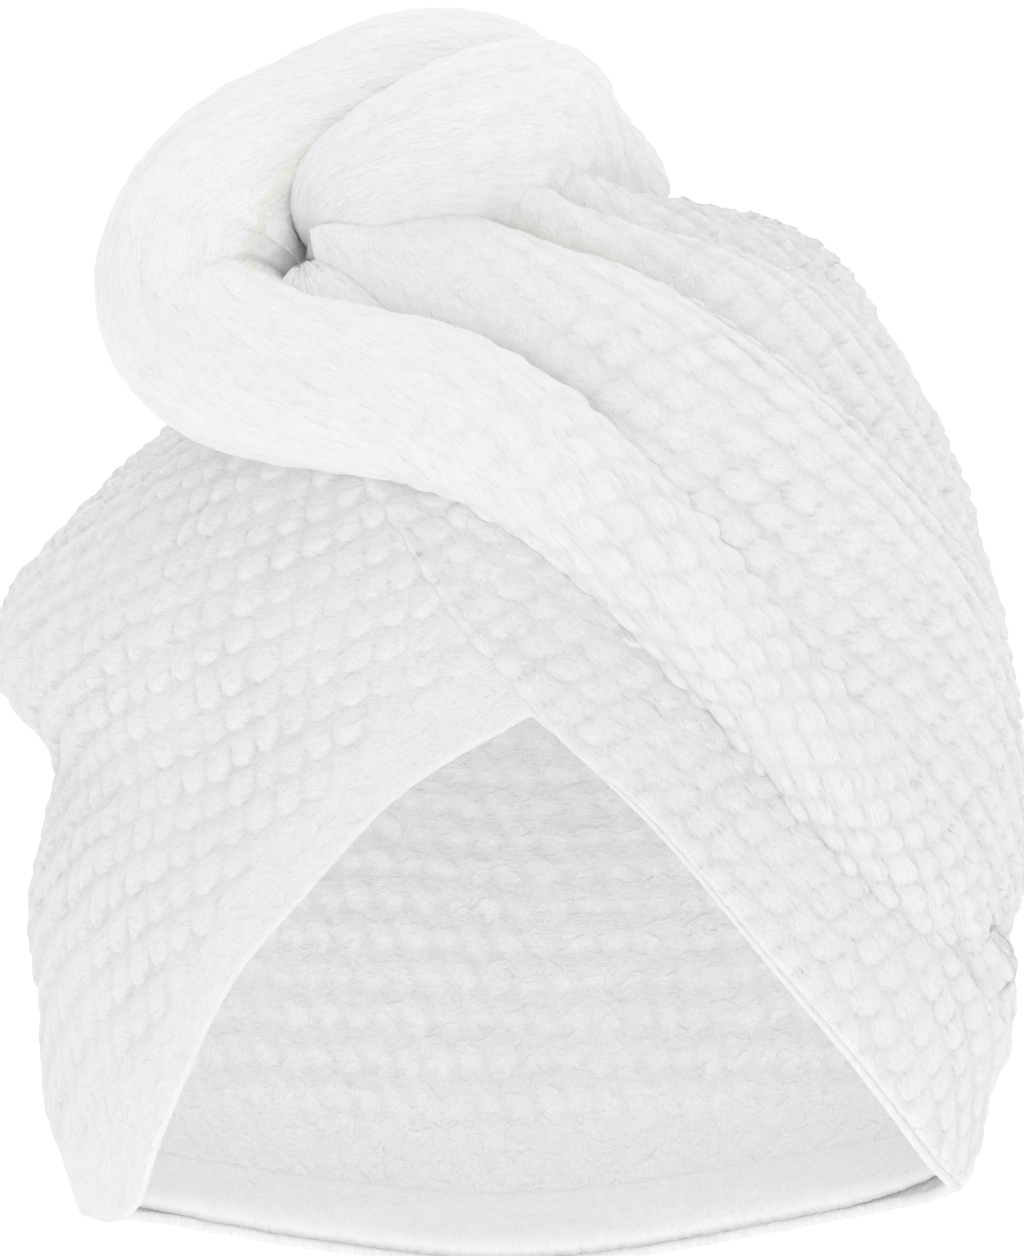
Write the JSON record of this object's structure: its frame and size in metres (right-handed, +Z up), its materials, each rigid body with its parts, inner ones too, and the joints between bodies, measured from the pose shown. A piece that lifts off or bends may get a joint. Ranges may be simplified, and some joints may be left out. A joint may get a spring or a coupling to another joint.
{
  "type": "hair turban towel",
  "caption": "White plush towelling hair turban as worn: hollow cap open at the face, folded band, and a twisted tail looped to a nape button.",
  "frame": {"origin": "the inside of the crown, where the top of the head sits", "axes": "+Z up, -Y to the front where the face opening is, +X to the right of someone who looks at the front"},
  "size_m": [0.22, 0.2706, 0.2716],
  "materials": {
    "towelling": "matte plush",
    "hem_cloth": "matte flat weave",
    "elastic": "matte cord",
    "button": "satin"
  },
  "bodies": {
    "root": {"hood": "towelling", "front_band": "towelling", "hem": "hem_cloth", "front_roll": "towelling", "crown_roll": "towelling", "loop": "elastic", "button": "button"}
  },
  "joints": []
}
